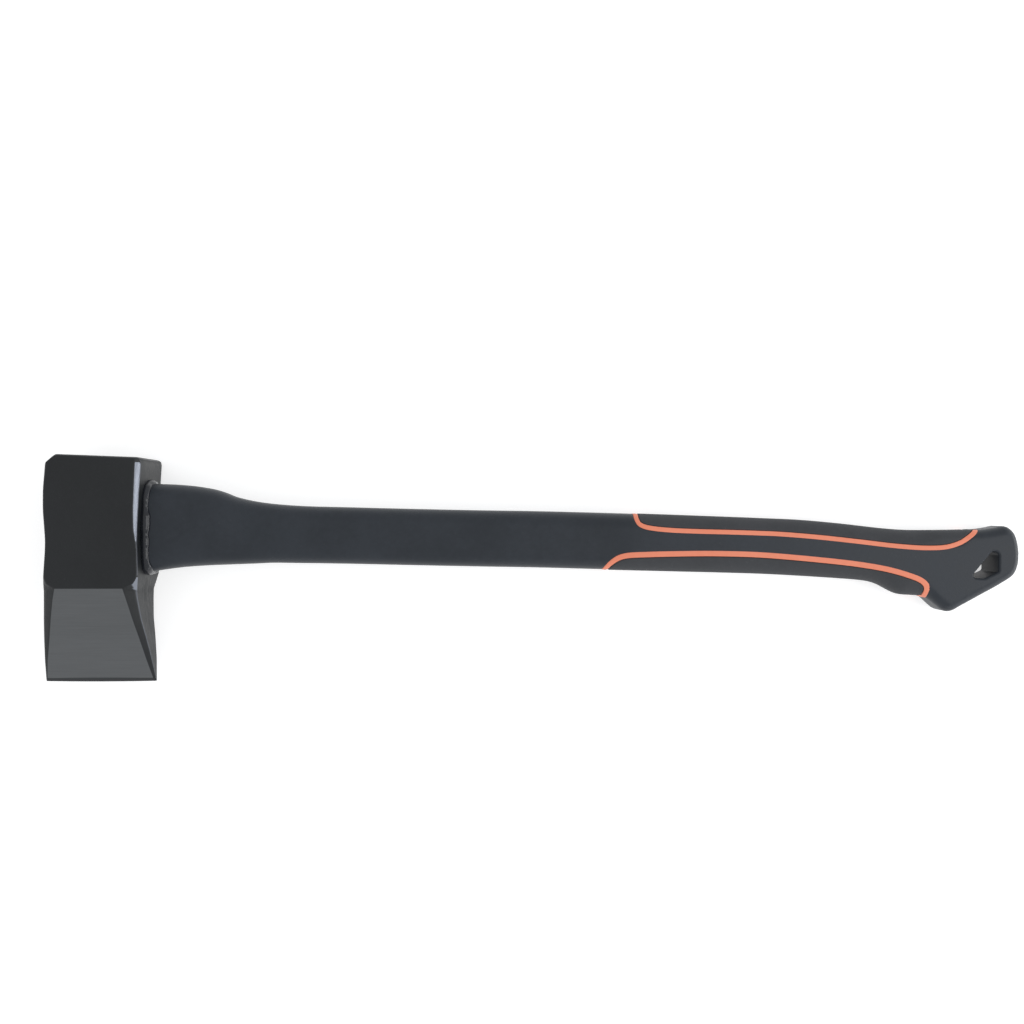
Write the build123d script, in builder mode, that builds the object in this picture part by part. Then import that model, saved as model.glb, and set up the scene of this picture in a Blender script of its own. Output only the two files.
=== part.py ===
"""Splitting maul: a forged wedge head on a jacketed glass-fibre handle, in millimetres.

The maul lies on its cheek. +X runs along the handle from the head to the butt, -Y points to the
cutting edge, +Y to the poll and +Z up, square to the cheeks. The origin is the middle of the
bounding box's bottom face, so the head fills the box in Y and Z and the whole tool fills it in X.
"""

import math
import os
from collections import namedtuple

from build123d import *

# ---------------------------------------------------------------- whole tool
OVERALL_LENGTH = 700.0  # head's outer end to the butt, along X

# ---------------------------------------------------------------- forged head
HEAD_HEIGHT = 162.5  # highest point of the poll to the cutting edge, along Y
HEAD_THICKNESS = 54.0  # cheek to cheek at the poll, along Z
EDGE_LENGTH = 78.5  # cutting edge, along X
POLL_SLOPE = 2.7  # the poll face falls towards the handle, degrees
EDGE_FLAT = 0.8  # blunt width of the cutting edge
CHEEK_STRIKE = 0.4  # extra thickness of the forging, taken off where the cheeks are struck flat
SHOULDER_GAP = 0.5  # head's side face at the eye to the handle's shoulder

# A level of the head: drop below the poll, reach from the head's middle to the outer side and to
# the handle's side, thickness, and how far its corners are cut along X and along Z.
Level = namedtuple("Level", "drop outer inner thickness cut_x cut_z")
POLL_FACE = Level(0.0, 27.0, 32.0, 42.0, 4.0, 4.0)
POLL_FOOT = Level(6.5, 32.0, 35.5, HEAD_THICKNESS + CHEEK_STRIKE, 3.1, 3.7)
CHEEK_FLAT_END = Level(39.3, 32.3, 33.7, HEAD_THICKNESS + CHEEK_STRIKE, 2.7, 3.7)
CHEEK = Level(60.3, 31.0, 33.1, 51.6, 0.8, 1.8)
SHOULDER_TOP = Level(85.3, 32.3, 33.5, 49.6, 0.5, 1.3)
SHOULDER_FOOT = Level(94.6, 33.4, 31.5, 48.0, 8.5, 5.6)
HONED_TOP = Level(160.0, 39.2, 38.9, 3.8, 1.4, 0.8)
EDGE = Level(HEAD_HEIGHT, EDGE_LENGTH / 2, EDGE_LENGTH / 2, EDGE_FLAT, 0.2, 0.2)

# ---------------------------------------------------------------- eye and what fills it
EYE_TO_POLL = 52.0  # poll's highest point to the middle of the eye
EYE_HEIGHT = 58.0  # eye along Y at the handle side
EYE_WIDTH = 27.0  # eye along Z at the handle side
EYE_FLARE = 3.0  # how much wider and higher the eye is at the outer side
EYE_CORNER = 12.5  # corner radius of the eye
EYE_OVERRUN = 4.0  # how far the eye's shape runs past both side faces
BOND_GAP = 2.0  # resin between the tongue and the eye at the handle side
TONGUE_RECESS = 6.0  # tongue's end below the head's outer face
RESIN_RECESS = 1.2  # cured resin's surface below the head's outer face
SEAL_DEPTH = 3.0  # how far the sealing bead reaches into the eye
SEAL_OVERHANG = 2.4  # how far the bead stands round the handle
SEAL_LENGTH = 4.5  # bead along the handle, outside the head

# ---------------------------------------------------------------- handle
NECK_THICKNESS = 29.0
SHAFT_THICKNESS = 27.0
GRIP_THICKNESS = 29.0
NECK_CORNER = 12.0
SHAFT_CORNER = 11.0
GRIP_CORNER = 12.0
BUTT_CORNER = 7.0
BUTT_RADIUS = 27.0  # rounded end of the butt, in the cheek's plane
BUTT_DROP = 18.8  # centre of that rounding below the eye's middle
BUTT_EDGE = 4.0  # rounding along the butt's end
BUTT_OVERRUN = 6.0  # how far the sections run past the end before the end is cut

# ---------------------------------------------------------------- core rod
CORE_HEIGHT = 24.0
CORE_WIDTH = 16.0
CORE_FROM_BUTT = 120.0  # end of the core, back from the butt
CORE_DROP = 17.0  # how far the core's axis sinks from the eye to its end
CORE_SETBACK = 1.0  # core's end below the tongue's end

# ---------------------------------------------------------------- soft grip
RECESS_DEPTH = 3.2  # moulded recess in the jacket
LINER_FLOOR = 1.2  # coloured liner under the soft pad
ACCENT_WIDTH = 3.9  # the liner's rim, which shows as a coloured line

# ---------------------------------------------------------------- hanging hole
# Rounded corners of the hole: (back from the butt, below the eye's middle, radius)
HOLE_CORNERS = [(32.7, 34.1, 3.8), (19.9, 20.6, 5.1), (18.8, 30.2, 3.9), (27.5, 34.4, 3.8)]
HOLE_RIM = 1.5  # bevel round both mouths of the hole

# ---------------------------------------------------------------- worked out from the above
MID_Z = HEAD_THICKNESS / 2
HEAD_X = -OVERALL_LENGTH / 2 + EDGE_LENGTH / 2
BUTT_X = OVERALL_LENGTH / 2
POLL_Y = HEAD_HEIGHT / 2
EYE_Y = POLL_Y - EYE_TO_POLL
OUTER_X = HEAD_X - CHEEK.outer
NECK_X = HEAD_X + (POLL_FOOT.inner + CHEEK_FLAT_END.inner) / 2 + SHOULDER_GAP
# The sloping poll face peaks at its outer edge, so its middle sits lower by this much.
POLL_PEAK = POLL_FACE.outer * math.sin(math.radians(POLL_SLOPE))
REACH = OVERALL_LENGTH  # longer than anything that a cutter has to pass through

# A section of the handle: where it stands, its upper and lower limits measured from the eye's
# middle, its thickness and its corner radius.
Section = namedtuple("Section", "x top bottom thickness corner")

# From the shoulder outwards, x measured from the head.
NECK_SECTIONS = [
    Section(0, 31.6, -31.6, NECK_THICKNESS, NECK_CORNER),
    Section(20, 30.9, -29.0, NECK_THICKNESS, NECK_CORNER),
    Section(37, 29.1, -27.4, NECK_THICKNESS, NECK_CORNER),
    Section(52, 25.7, -26.7, NECK_THICKNESS, NECK_CORNER),
    Section(68, 20.3, -26.0, SHAFT_THICKNESS, SHAFT_CORNER),
    Section(87, 17.3, -25.2, SHAFT_THICKNESS, SHAFT_CORNER),
    Section(140, 14.8, -25.9, SHAFT_THICKNESS, SHAFT_CORNER),
]
# Grip and butt, x measured back from the butt's end.
GRIP_SECTIONS = [
    Section(348, 11.9, -28.8, SHAFT_THICKNESS, SHAFT_CORNER),
    Section(281, 10.1, -30.8, GRIP_THICKNESS, GRIP_CORNER),
    Section(218, 7.9, -32.3, GRIP_THICKNESS, GRIP_CORNER),
    Section(160, 5.5, -34.6, GRIP_THICKNESS, GRIP_CORNER),
    Section(131, 3.0, -36.5, GRIP_THICKNESS, GRIP_CORNER),
    Section(110, 0.7, -38.6, GRIP_THICKNESS, GRIP_CORNER),
    Section(92, -1.2, -45.2, GRIP_THICKNESS, GRIP_CORNER),
    Section(82, -1.8, -48.4, GRIP_THICKNESS, GRIP_CORNER),
    Section(72, -2.1, -49.1, GRIP_THICKNESS, GRIP_CORNER),
    Section(63, -2.1, -53.3, GRIP_THICKNESS, BUTT_CORNER),
    Section(54, -2.1, -60.3, GRIP_THICKNESS, BUTT_CORNER),
    Section(46, -2.0, -58.6, GRIP_THICKNESS, BUTT_CORNER),
    Section(30, -1.5, -49.8, GRIP_THICKNESS, BUTT_CORNER),
    Section(14, 0.8, -41.1, GRIP_THICKNESS, BUTT_CORNER),
    Section(-BUTT_OVERRUN, 5.1, -30.3, GRIP_THICKNESS, BUTT_CORNER),
]

# Lower edge of the upper grip and upper edge of the lower grip: (back from the butt, height from
# the eye's middle). The rest of each outline closes outside the handle.
UPPER_GRIP_LINE = [
    (279.8, 14.0), (279.0, 3.4), (267.5, -2.5), (221.0, -4.8), (189.0, -5.2), (146.8, -9.9),
    (90.0, -15.1), (68.5, -16.0), (51.0, -14.6), (36.3, -7.4), (29.5, 2.0),
]
LOWER_GRIP_LINE = [
    (304.5, -33.0), (294.4, -20.9), (277.5, -17.0), (221.0, -16.1), (189.0, -17.1),
    (146.8, -20.7), (118.4, -24.0), (82.8, -32.6), (72.7, -36.1), (66.8, -42.5), (69.5, -53.0),
]
GRIP_CLEAR = 75.0  # how far from the eye's middle those outlines close, outside the handle
GRIP_LINE_STEPS = 40


def head_section(level, slope=0):
    """A level of the head: a rectangle in X and Z with its corners cut, tilted by slope."""
    outer, inner, z = -level.outer, level.inner, level.thickness / 2
    cut_x, cut_z = level.cut_x, level.cut_z
    corners = [
        (inner - cut_x, z), (inner, z - cut_z), (inner, cut_z - z), (inner - cut_x, -z),
        (outer + cut_x, -z), (outer, cut_z - z), (outer, z - cut_z), (outer + cut_x, z),
    ]
    across, down = Vector(1, 0, 0), Vector(0, -1, 0)
    place = Plane(origin=(HEAD_X, POLL_Y - level.drop, MID_Z),
                  x_dir=across.rotate(Axis.Z, -slope), z_dir=down.rotate(Axis.Z, -slope))
    with BuildSketch(place) as sketch:
        with BuildLine():
            Polyline(*corners, close=True)
        make_face()
    return sketch.sketch


def rounded_section(x, middle_y, height, thickness, corner):
    """A rounded rectangle standing across the handle at x."""
    across = Plane(origin=(x, middle_y, MID_Z), x_dir=(0, 1, 0), z_dir=(1, 0, 0))
    with BuildSketch(across) as sketch:
        RectangleRounded(height, thickness, corner)
    return sketch.sketch


def handle_stations():
    """All sections of the handle with x in the tool's frame, from the head to past the butt."""
    near = [s._replace(x=NECK_X + s.x) for s in NECK_SECTIONS]
    far = [s._replace(x=BUTT_X - s.x) for s in GRIP_SECTIONS]
    return near + far


def handle_body(inset):
    """The handle's solid with its surface moved in by inset, and its end still uncut."""
    with BuildPart() as body:
        for s in handle_stations():
            middle = EYE_Y + (s.top + s.bottom) / 2
            height = s.top - s.bottom - 2 * inset
            add(rounded_section(s.x, middle, height, s.thickness - 2 * inset, s.corner - inset))
        loft(ruled=True)
    return body.part


def grip_region(line, outward, inset):
    """A block through the handle, seen from the cheek: one grip's outline, moved in by inset."""
    curve = Spline(*[(BUTT_X - back, EYE_Y + height) for back, height in line])
    steps = [i / GRIP_LINE_STEPS for i in range(GRIP_LINE_STEPS + 1)]
    turn = 90 * outward
    points = [curve @ t + (curve % t).rotate(Axis.Z, turn) * inset for t in steps]
    outside = EYE_Y + outward * GRIP_CLEAR
    corners = [points[-1], (points[-1].X, outside), (points[0].X, outside), points[0]]
    with BuildPart() as block:
        with BuildSketch():
            with BuildLine():
                Spline(*points)
                Polyline(*corners)
            make_face()
        extrude(amount=HEAD_THICKNESS)
    return block.part


os.makedirs("parts", exist_ok=True)

# ---------------------------------------------------------------- head
with BuildPart() as head:
    add(head_section(POLL_FACE._replace(drop=POLL_PEAK), POLL_SLOPE))
    for level in (POLL_FOOT, CHEEK_FLAT_END, CHEEK, SHOULDER_TOP, SHOULDER_FOOT, HONED_TOP,
                  EDGE):
        add(head_section(level))
    loft(ruled=True)
    with Locations((HEAD_X, 0, MID_Z)):
        Box(REACH, REACH, HEAD_THICKNESS, mode=Mode.INTERSECT)
head_blank = head.part

# The eye runs right through the head and opens towards the outer side.
with BuildPart() as eye:
    add(rounded_section(OUTER_X - EYE_OVERRUN, EYE_Y, EYE_HEIGHT + EYE_FLARE,
                        EYE_WIDTH + EYE_FLARE, EYE_CORNER))
    add(rounded_section(NECK_X + EYE_OVERRUN, EYE_Y, EYE_HEIGHT, EYE_WIDTH, EYE_CORNER))
    loft()

with BuildPart() as head:
    add(head_blank)
    add(eye.part, mode=Mode.SUBTRACT)

# ---------------------------------------------------------------- core rod
CORE_START = Vector(OUTER_X + TONGUE_RECESS + CORE_SETBACK, EYE_Y, MID_Z)
CORE_END = Vector(BUTT_X - CORE_FROM_BUTT, EYE_Y - CORE_DROP, MID_Z)
with BuildPart() as core_rod:
    core_axis = CORE_END - CORE_START
    with BuildSketch(Plane(origin=CORE_START, x_dir=(0, 0, 1), z_dir=core_axis)):
        SlotOverall(CORE_HEIGHT, CORE_WIDTH, rotation=90)
    extrude(amount=core_axis.length)

# ---------------------------------------------------------------- handle, before the grips
with BuildPart() as tongue:
    with BuildSketch(Plane(origin=(OUTER_X + TONGUE_RECESS, EYE_Y, MID_Z),
                           x_dir=(0, 1, 0), z_dir=(1, 0, 0))):
        RectangleRounded(EYE_HEIGHT - 2 * BOND_GAP, EYE_WIDTH - 2 * BOND_GAP,
                         EYE_CORNER - BOND_GAP)
    extrude(amount=NECK_X - OUTER_X - TONGUE_RECESS)

# What the butt's rounded end keeps: a disc with rounded rims, and everything before its centre.
with BuildPart() as butt_limit:
    with Locations((BUTT_X - BUTT_RADIUS, EYE_Y - BUTT_DROP, MID_Z)):
        Cylinder(BUTT_RADIUS, GRIP_THICKNESS)
        fillet(butt_limit.edges().filter_by(GeomType.CIRCLE), BUTT_EDGE)
    with Locations((BUTT_X - BUTT_RADIUS, EYE_Y, MID_Z)):
        Box(REACH, REACH, HEAD_THICKNESS, align=(Align.MAX, Align.CENTER, Align.CENTER))

with BuildSketch() as hole_outline:
    for back, drop, radius in HOLE_CORNERS:
        with Locations((BUTT_X - back, EYE_Y - drop)):
            Circle(radius)
    make_hull()
with BuildPart() as hole_mouth:
    with BuildSketch(Plane.XY.offset(MID_Z + GRIP_THICKNESS / 2 - HOLE_RIM)):
        add(hole_outline.sketch)
    extrude(amount=HOLE_RIM * 2, taper=-45)
with BuildPart() as hanging_hole:
    with BuildSketch():
        add(hole_outline.sketch)
    extrude(amount=HEAD_THICKNESS)
    add(hole_mouth.part)
    add(hole_mouth.part.mirror(Plane.XY.offset(MID_Z)))

with BuildPart() as handle:
    add(handle_body(0))
    add(butt_limit.part, mode=Mode.INTERSECT)
handle_outer = handle.part

# ---------------------------------------------------------------- recesses, liners and pads
with BuildPart() as recess_skin:
    add(handle_outer)
    add(handle_body(RECESS_DEPTH), mode=Mode.SUBTRACT)
with BuildPart() as pad_skin:
    add(handle_outer)
    add(handle_body(RECESS_DEPTH - LINER_FLOOR), mode=Mode.SUBTRACT)

with BuildPart() as upper_recess:
    add(recess_skin.part)
    add(grip_region(UPPER_GRIP_LINE, 1, 0), mode=Mode.INTERSECT)
with BuildPart() as lower_recess:
    add(recess_skin.part)
    add(grip_region(LOWER_GRIP_LINE, -1, 0), mode=Mode.INTERSECT)
with BuildPart() as upper_grip:
    add(pad_skin.part)
    add(grip_region(UPPER_GRIP_LINE, 1, ACCENT_WIDTH), mode=Mode.INTERSECT)
with BuildPart() as lower_grip:
    add(pad_skin.part)
    add(grip_region(LOWER_GRIP_LINE, -1, ACCENT_WIDTH), mode=Mode.INTERSECT)
with BuildPart() as upper_liner:
    add(upper_recess.part)
    add(upper_grip.part, mode=Mode.SUBTRACT)
with BuildPart() as lower_liner:
    add(lower_recess.part)
    add(lower_grip.part, mode=Mode.SUBTRACT)

# ---------------------------------------------------------------- jacket
with BuildPart() as handle_jacket:
    add(handle_outer)
    add(tongue.part)
    for cutter in (upper_recess, lower_recess, hanging_hole, core_rod):
        add(cutter.part, mode=Mode.SUBTRACT)

# ---------------------------------------------------------------- resin and sealing bead
with BuildPart() as eye_resin:
    add(eye.part)
    with BuildSketch(Plane(origin=(OUTER_X + RESIN_RECESS, EYE_Y, MID_Z),
                           x_dir=(0, 1, 0), z_dir=(1, 0, 0))):
        Rectangle(HEAD_HEIGHT, HEAD_THICKNESS)
    extrude(amount=NECK_X - SEAL_DEPTH - OUTER_X - RESIN_RECESS, mode=Mode.INTERSECT)
    add(tongue.part, mode=Mode.SUBTRACT)
    add(core_rod.part, mode=Mode.SUBTRACT)

with BuildPart() as seal_bead:
    neck = NECK_SECTIONS[0]
    with BuildSketch(Plane(origin=(NECK_X - SEAL_DEPTH, EYE_Y + (neck.top + neck.bottom) / 2,
                                   MID_Z), x_dir=(0, 1, 0), z_dir=(1, 0, 0))):
        RectangleRounded(neck.top - neck.bottom + 2 * SEAL_OVERHANG,
                         neck.thickness + 2 * SEAL_OVERHANG, neck.corner + SEAL_OVERHANG)
    extrude(amount=SEAL_DEPTH + SEAL_LENGTH)
    add(head.part, mode=Mode.SUBTRACT)
    add(handle_outer, mode=Mode.SUBTRACT)
    add(tongue.part, mode=Mode.SUBTRACT)

head.part.label = "head"
export_step(head.part, "parts/head.step")
core_rod.part.label = "core_rod"
export_step(core_rod.part, "parts/core_rod.step")
handle_jacket.part.label = "handle_jacket"
export_step(handle_jacket.part, "parts/handle_jacket.step")
eye_resin.part.label = "eye_resin"
export_step(eye_resin.part, "parts/eye_resin.step")
seal_bead.part.label = "seal_bead"
export_step(seal_bead.part, "parts/seal_bead.step")
upper_liner.part.label = "upper_liner"
export_step(upper_liner.part, "parts/upper_liner.step")
lower_liner.part.label = "lower_liner"
export_step(lower_liner.part, "parts/lower_liner.step")
upper_grip.part.label = "upper_grip"
export_step(upper_grip.part, "parts/upper_grip.step")
lower_grip.part.label = "lower_grip"
export_step(lower_grip.part, "parts/lower_grip.step")
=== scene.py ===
"""Looks of a splitting maul: a forged wedge head on a jacketed handle with two soft grips.

Every shape is worked out in millimetres, with z measured from the plane half-way between the
cheeks, and turned into metres in the shared frame when its mesh is made.
"""

import logging
import math
from dataclasses import dataclass
from enum import Enum

import bmesh
import bpy
import numpy as np
from mathutils import Matrix, Vector

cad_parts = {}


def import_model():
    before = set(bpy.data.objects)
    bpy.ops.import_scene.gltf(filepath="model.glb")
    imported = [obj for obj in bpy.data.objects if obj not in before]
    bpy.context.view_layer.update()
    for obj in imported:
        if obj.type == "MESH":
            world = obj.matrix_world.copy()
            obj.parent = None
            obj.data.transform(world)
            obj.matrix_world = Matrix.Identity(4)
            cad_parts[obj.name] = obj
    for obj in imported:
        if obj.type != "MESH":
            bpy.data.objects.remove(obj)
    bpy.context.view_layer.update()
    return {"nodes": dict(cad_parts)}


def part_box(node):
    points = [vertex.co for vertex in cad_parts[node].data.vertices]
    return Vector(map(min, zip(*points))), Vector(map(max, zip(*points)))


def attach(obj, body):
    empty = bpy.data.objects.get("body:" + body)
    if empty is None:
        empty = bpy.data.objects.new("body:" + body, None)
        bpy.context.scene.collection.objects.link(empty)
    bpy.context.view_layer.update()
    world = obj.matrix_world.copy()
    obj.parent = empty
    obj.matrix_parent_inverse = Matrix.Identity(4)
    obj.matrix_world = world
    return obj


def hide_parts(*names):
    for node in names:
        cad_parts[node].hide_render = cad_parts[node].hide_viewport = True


log = logging.getLogger("maul")
MM = 0.001
MIDDLE_Z = 27.0
MIRROR = np.array([1, 1, -1])
TINY = 1e-9
LEG_SHARE = 0.48
EDGE_ROWS = 12
EDGE_REACH = 12.0
EDGE_SHARE = 0.6
NOISE_ROUGHNESS = 0.6
MIX_SOCKETS = {"FLOAT": (2, 3, 0), "VECTOR": (4, 5, 1), "RGBA": (6, 7, 2)}


# ------------------------------------------------------------------------------ geometry helpers
def smooth_line(points: list, steps: int = 12) -> np.ndarray:
    """Runs a smooth curve through points.

    A centripetal Catmull-Rom curve: on each span the tangents are the differences of the
    neighbouring points divided by the square roots of their distances.

    Args:
        points: the points, in order.
        steps: samples on each span.

    Returns:
        The samples, one row each.
    """
    p = np.asarray(points, float)
    gap = np.maximum(np.linalg.norm(np.diff(p, axis=0), axis=1), TINY) ** 0.5
    knot = np.concatenate([[0.0], np.cumsum(gap)])
    slope = np.gradient(p, knot, axis=0)
    t = np.linspace(0, 1, steps, endpoint=False)[None, :, None]
    a, b = p[:-1, None], p[1:, None]
    m, n = slope[:-1, None] * gap[:, None, None], slope[1:, None] * gap[:, None, None]
    curve = ((2 * t**3 - 3 * t**2 + 1) * a + (t**3 - 2 * t**2 + t) * m
             + (3 * t**2 - 2 * t**3) * b + (t**3 - t**2) * n)
    return np.vstack([curve.reshape(-1, p.shape[1]), p[-1:]])


def travelled(line: np.ndarray) -> np.ndarray:
    """How far along a line each of its points lies."""
    return np.concatenate([[0], np.cumsum(np.linalg.norm(np.diff(line, axis=0), axis=1))])


def taken(line: np.ndarray, at: np.ndarray) -> np.ndarray:
    """Samples of a line at given distances along it."""
    run = travelled(line)
    return np.stack([np.interp(at, run, column) for column in line.T], axis=1)


def spaced(line: np.ndarray, step: float) -> np.ndarray:
    """Takes evenly spaced samples along a line.

    Args:
        line: the line's points, one row each.
        step: wanted distance between samples.

    Returns:
        The new samples, both ends kept.
    """
    length = travelled(line)[-1]
    return taken(line, np.linspace(0, length, max(int(length / step), 4) + 1))


def ease(x: np.ndarray) -> np.ndarray:
    """Smooth step from 0 to 1 while x goes from 0 to 1."""
    x = np.clip(x, 0, 1)
    return x * x * (3 - 2 * x)


def cosine_stations(start: float, end: float, count: int) -> np.ndarray:
    """Values from start to end, packed closer at both ends."""
    return start + (end - start) * (1 - np.cos(np.linspace(0, math.pi, count))) / 2


def nearest(points: np.ndarray, line: np.ndarray) -> tuple:
    """Finds how far plane points lie from a line of short segments.

    The distance to each segment is taken at the point's projection, held within the segment.

    Args:
        points: plane points, one row each.
        line: the line's corners, one row each.

    Returns:
        The distances, and the unit normals to the left of the nearest segments.
    """
    a, d = line[:-1], np.diff(line, axis=0)
    size = np.maximum((d**2).sum(1), 1e-12)
    far, which = np.empty(len(points)), np.empty(len(points), int)
    for start in range(0, len(points), 4096):
        q = points[start:start + 4096, None] - a
        t = np.clip((q * d).sum(2) / size, 0, 1)
        gap = ((q - t[..., None] * d) ** 2).sum(2)
        which[start:start + 4096] = gap.argmin(1)
        far[start:start + 4096] = np.sqrt(gap.min(1))
    unit = d / np.sqrt(size)[:, None]
    normal = np.stack([-unit[:, 1], unit[:, 0]], axis=1)
    return far, normal[which]


def toward(here: np.ndarray, other: np.ndarray, reach: float) -> np.ndarray:
    """Points that lie reach away from here towards other, and short of half-way."""
    length = np.linalg.norm(other - here, axis=-1, keepdims=True)
    return here + (other - here) * np.minimum(reach / np.maximum(length, TINY), LEG_SHARE)


def rounded_cage(nodes: np.ndarray, radii: list, arc: int, fill: list, closed: bool) -> tuple:
    """Rounds the corners of many paths at once.

    Each corner becomes a parabola that starts and ends its radius away from the corner along
    both legs, and straight runs are filled in between.

    Args:
        nodes: corners, first axis along the path, last axis x, y and z.
        radii: how far each corner's rounding reaches along its legs.
        arc: samples on each rounding.
        fill: samples on the straight run after each corner.
        closed: whether the path returns to its first corner.

    Returns:
        The samples, and for each one how far into a rounding it lies, from 0 to 1.
    """
    out, weight = [], []
    count = len(nodes)
    for i, here in enumerate(nodes):
        last = nodes[i - 1] if closed or i else here
        after = nodes[(i + 1) % count] if closed or i < count - 1 else here
        legs = [toward(here, other, radii[i]) for other in (last, after)]
        t = np.linspace(0, 1, arc).reshape((-1,) + (1,) * here.ndim)
        turn = (1 - t) ** 2 * legs[0] + 2 * t * (1 - t) * here + t**2 * legs[1]
        if not closed and i in (0, count - 1):
            turn, t = here[None], np.zeros((1,) + (1,) * here.ndim)
        out.append(turn)
        weight.append((4 * t * (1 - t)).reshape(-1))
        if closed or i < count - 1:
            ends = not closed and i + 1 == count - 1
            stop = after if ends else toward(after, here, radii[(i + 1) % count])
            s = np.linspace(0, 1, fill[i] + 2)[1:-1].reshape((-1,) + (1,) * here.ndim)
            out.append(turn[-1] + (stop - turn[-1]) * s)
            weight.append(np.zeros(fill[i]))
    return np.concatenate(out), np.concatenate(weight)


@dataclass(frozen=True)
class RoundedBox:
    """A rounded rectangle across the handle, half its size along y and z, and its corner."""

    half_y: float
    half_z: float
    corner: float

    def on_rays(self, angle: np.ndarray) -> np.ndarray:
        """Cuts the outline with rays from its middle.

        The ray's length is halved in until the rounded rectangle's signed distance is nothing.

        Args:
            angle: directions, measured from +y towards +z.

        Returns:
            The y and z of the outline on each ray.
        """
        way = np.stack([np.cos(angle), np.sin(angle)], axis=-1)
        core = np.array([self.half_y - self.corner, self.half_z - self.corner])
        low, high = np.zeros(angle.shape), np.full(angle.shape, 2 * (self.half_y + self.half_z))
        for _ in range(40):
            mid = (low + high) / 2
            q = np.maximum(np.abs(way * mid[..., None]) - core, 0)
            outside = np.linalg.norm(q, axis=-1) > self.corner
            low, high = np.where(outside, low, mid), np.where(outside, mid, high)
        return way * low[..., None]

    def loop(self, count: int) -> np.ndarray:
        """Count y and z samples at equal distances round the outline, the first not repeated."""
        dense = self.on_rays(np.linspace(0, 2 * math.pi, 721))
        return taken(dense, np.linspace(0, travelled(dense)[-1], count, endpoint=False))


# ------------------------------------------------------------------------------ meshes
class Shape:
    """Collects grids of points into one closed mesh."""

    def __init__(self) -> None:
        """Starts empty."""
        self.points: list = []
        self.faces: list = []
        self.fans: list = []
        self.values: dict = {}
        self.count = 0

    def grid(self, points: np.ndarray, close_u: bool = False, close_v: bool = False,
             flip: bool = False, **values: np.ndarray) -> np.ndarray:
        """Adds a grid of points as quads.

        Args:
            points: the grid, rows, columns, then x, y and z in millimetres.
            close_u: joins the last row to the first.
            close_v: joins the last column to the first.
            flip: turns the faces round.
            values: float attributes, one value for every point, on a shape of one grid only.

        Returns:
            The numbers of the grid's points.
        """
        rows, columns = points.shape[:2]
        number = np.arange(rows * columns).reshape(rows, columns) + self.count
        below = np.roll(number, -1, axis=0) if close_u else number[1:]
        base = number if close_u else number[:-1]
        corner = [base, below, np.roll(below, -1, axis=1), np.roll(base, -1, axis=1)]
        if not close_v:
            corner = [c[:, :-1] for c in corner]
        quads = np.stack(corner, axis=-1).reshape(-1, 4)
        self.faces.append(quads[:, ::-1] if flip else quads)
        self.points.append(points.reshape(-1, 3))
        self.values.update({name: value.reshape(-1) for name, value in values.items()})
        self.count += rows * columns
        return number

    def cap(self, ring: np.ndarray, flip: bool = False) -> None:
        """Closes a ring of point numbers with one face."""
        self.fans.append(list(ring[::-1] if flip else ring))

    def build(self, name: str, weld: float = 0.002) -> bpy.types.Object:
        """Makes the mesh, joins points that coincide and turns its faces outward.

        Args:
            name: the piece's name.
            weld: points closer than this, in millimetres, become one.

        Returns:
            The new object, linked to the scene.
        """
        points = np.concatenate(self.points) * MM + np.array([0, 0, MIDDLE_Z * MM])
        mesh = bpy.data.meshes.new(name)
        mesh.from_pydata(points.tolist(), [], np.concatenate(self.faces).tolist() + self.fans)
        for key, value in self.values.items():
            layer = mesh.attributes.new(key, "FLOAT", "POINT")
            layer.data.foreach_set("value", value.astype(np.float32))
        work = bmesh.new()
        work.from_mesh(mesh)
        bmesh.ops.remove_doubles(work, verts=work.verts, dist=weld * MM)
        bmesh.ops.dissolve_degenerate(work, edges=work.edges, dist=1e-7)
        bmesh.ops.recalc_face_normals(work, faces=work.faces)
        work.to_mesh(mesh)
        work.free()
        mesh.polygons.foreach_set("use_smooth", np.ones(len(mesh.polygons), bool))
        piece = bpy.data.objects.new(name, mesh)
        bpy.context.scene.collection.objects.link(piece)
        log.info("%s: %d points, %d faces", name, len(mesh.vertices), len(mesh.polygons))
        return piece


def place(piece: bpy.types.Object, nodes: tuple, finish: bpy.types.Material) -> None:
    """Dresses a piece and ties it to the CAD.

    Args:
        piece: the finished mesh object.
        nodes: the CAD nodes that it stands for.
        finish: its material.
    """
    piece.data.materials.append(finish)
    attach(piece, "root")
    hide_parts(*nodes)
    log.info("%s stands for %s", piece.name, ", ".join(nodes))


# ------------------------------------------------------------------------------ shader groups
class Effect(Enum):
    """Shared shader effects."""

    MOTTLE = "mottle"
    GRAIN = "grain"
    WEAR = "wear"
    GRIND = "grind"
    DUST = "dust"


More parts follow.
